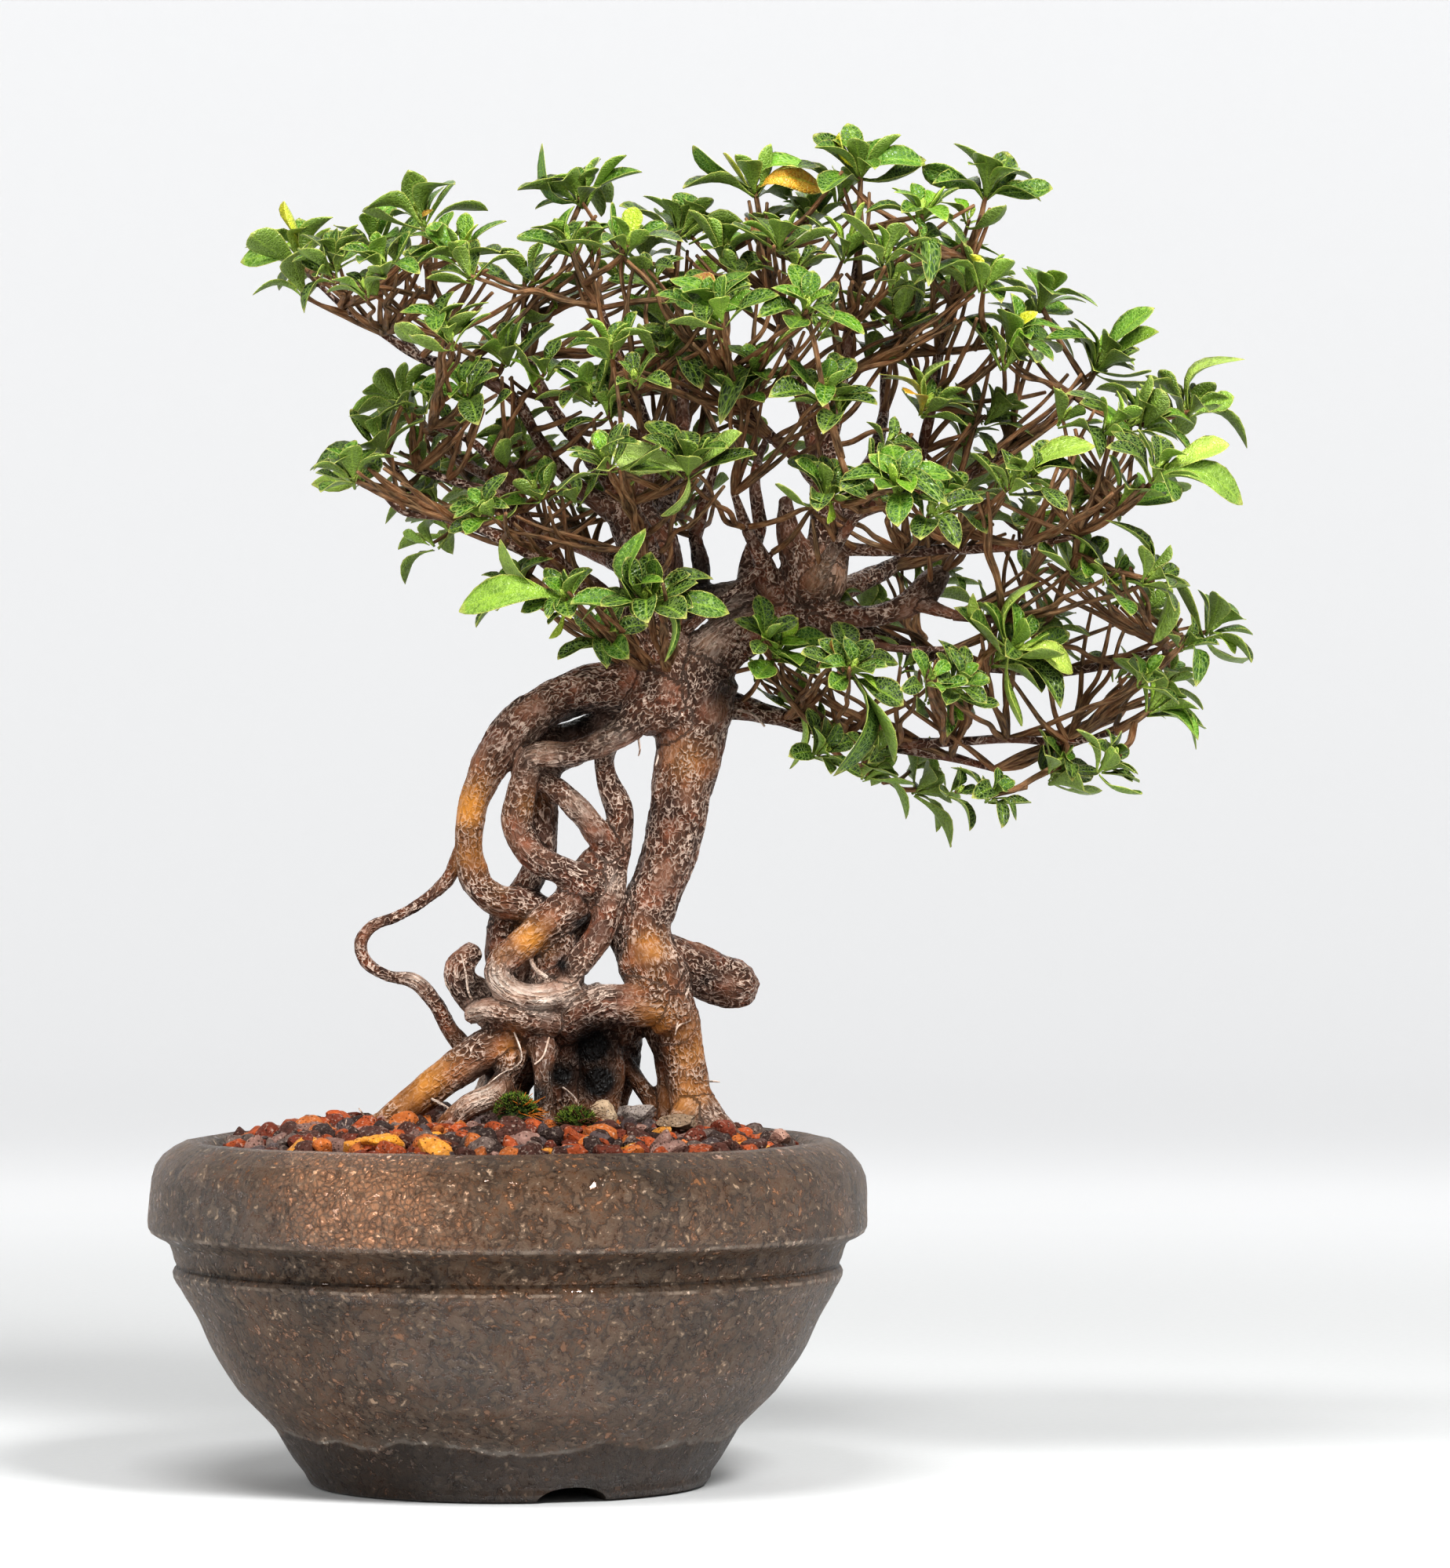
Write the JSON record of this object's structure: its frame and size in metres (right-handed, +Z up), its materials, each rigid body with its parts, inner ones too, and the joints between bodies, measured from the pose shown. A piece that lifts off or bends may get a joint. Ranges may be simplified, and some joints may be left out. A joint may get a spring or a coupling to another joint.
{
  "type": "potted bonsai azalea",
  "caption": "Bonsai azalea on exposed, looped roots, leaning out over a round footed stoneware bowl filled with coarse reddish grit.",
  "frame": {"origin": "centre of the bowl's flat foot, on the surface it stands on", "axes": "+Z up, +X towards the side the crown leans out over, -Y the front seen in the picture"},
  "size_m": [0.3649, 0.24, 0.4434],
  "materials": {
    "glazed_stoneware": "aged semi-gloss brown glaze with a pale scum line and pits",
    "potting_soil": "dark granular soil, hidden below the grit",
    "lava_grit": "loose fired clay and lava grit, rust, brown and grey",
    "stone": "worn pebbles",
    "moss": "short dense moss",
    "bark": "mottled grey-brown bark, ochre on the roots",
    "leaf": "small netted leaves, softly shining",
    "screen_plastic": "moulded black drainage mesh"
  },
  "bodies": {
    "root": {"pot": "glazed_stoneware", "drain_screen_1": "screen_plastic", "drain_screen_2": "screen_plastic", "drain_screen_3": "screen_plastic", "soil": "potting_soil", "grit": "lava_grit", "tree": "bark", "leafy_shoot_1": "leaf", "leafy_shoot_2": "leaf", "leafy_shoot_3": "leaf", "leafy_shoot_4": "leaf", "leafy_shoot_5": "leaf", "leafy_shoot_6": "leaf", "leafy_shoot_7": "leaf", "leafy_shoot_8": "leaf", "leafy_shoot_9": "leaf", "leafy_shoot_10": "leaf", "leafy_shoot_11": "leaf", "leafy_shoot_12": "leaf", "leafy_shoot_13": "leaf", "leafy_shoot_14": "leaf", "leafy_shoot_15": "leaf", "leafy_shoot_16": "leaf", "leafy_shoot_17": "leaf", "leafy_shoot_18": "leaf", "leafy_shoot_19": "leaf", "leafy_shoot_20": "leaf", "leafy_shoot_21": "leaf", "leafy_shoot_22": "leaf", "leafy_shoot_23": "leaf", "leafy_shoot_24": "leaf", "leafy_shoot_25": "leaf", "leafy_shoot_26": "leaf", "leafy_shoot_27": "leaf", "leafy_shoot_28": "leaf", "leafy_shoot_29": "leaf", "leafy_shoot_30": "leaf", "leafy_shoot_31": "leaf", "leafy_shoot_32": "leaf", "leafy_shoot_33": "leaf", "leafy_shoot_34": "leaf", "leafy_shoot_35": "leaf", "leafy_shoot_36": "leaf", "leafy_shoot_37": "leaf", "leafy_shoot_38": "leaf", "leafy_shoot_39": "leaf", "leafy_shoot_40": "leaf", "leafy_shoot_41": "leaf", "leafy_shoot_42": "leaf", "leafy_shoot_43": "leaf", "leafy_shoot_44": "leaf", "leafy_shoot_45": "leaf", "stone_1": "stone", "stone_2": "stone", "stone_3": "stone", "stone_4": "stone", "stone_5": "stone", "stone_6": "stone", "moss_1": "moss", "moss_2": "moss"}
  },
  "joints": []
}
